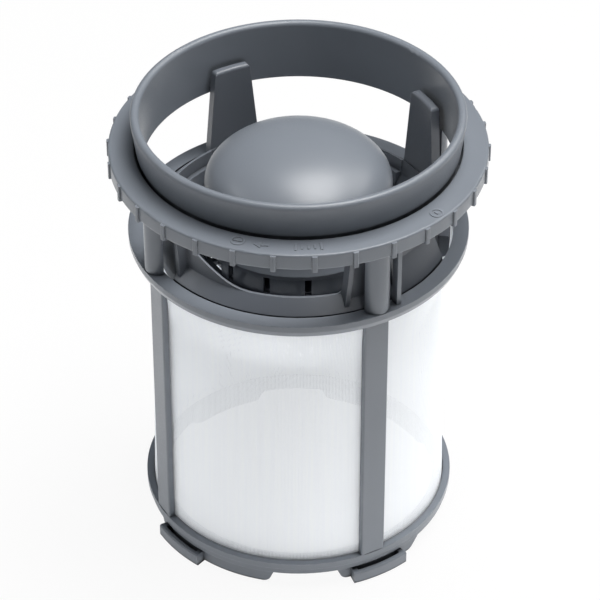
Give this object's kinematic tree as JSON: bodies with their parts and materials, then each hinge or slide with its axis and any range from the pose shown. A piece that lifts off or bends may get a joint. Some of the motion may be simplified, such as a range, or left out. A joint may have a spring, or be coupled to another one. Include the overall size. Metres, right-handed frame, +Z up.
{
  "type": "dishwasher filter",
  "caption": "Cylinder filter of a dishwasher: grip collar on columns over a fine mesh drum with a bayonet foot, and a lift-out insert with finger tabs and a dome.",
  "frame": {"origin": "centre of the base at the surface that the lugs stand on", "axes": "+Z up along the axis of the filter, towards the collar; front of the picture towards -Y"},
  "size_m": [0.109, 0.1088, 0.1404],
  "materials": {
    "slate_plastic": "satin moulded",
    "fine_mesh": "fine white woven polyamide mesh",
    "insert_plastic": "satin moulded",
    "basket_plastic": "semi-gloss moulded",
    "dome_plastic": "satin moulded"
  },
  "bodies": {
    "drum": {"grip_collar": "slate_plastic", "drum_frame": "slate_plastic", "mesh_sleeve": "fine_mesh", "bayonet_base": "slate_plastic"},
    "insert": {"insert_shell": "insert_plastic", "strainer_basket": "basket_plastic", "dome_cap": "dome_plastic"}
  },
  "joints": [
    {"name": "insert_lift", "type": "slide", "parent": "drum", "child": "insert", "axis": [0, 0, 1], "range_m": [0, 0.06]}
  ]
}
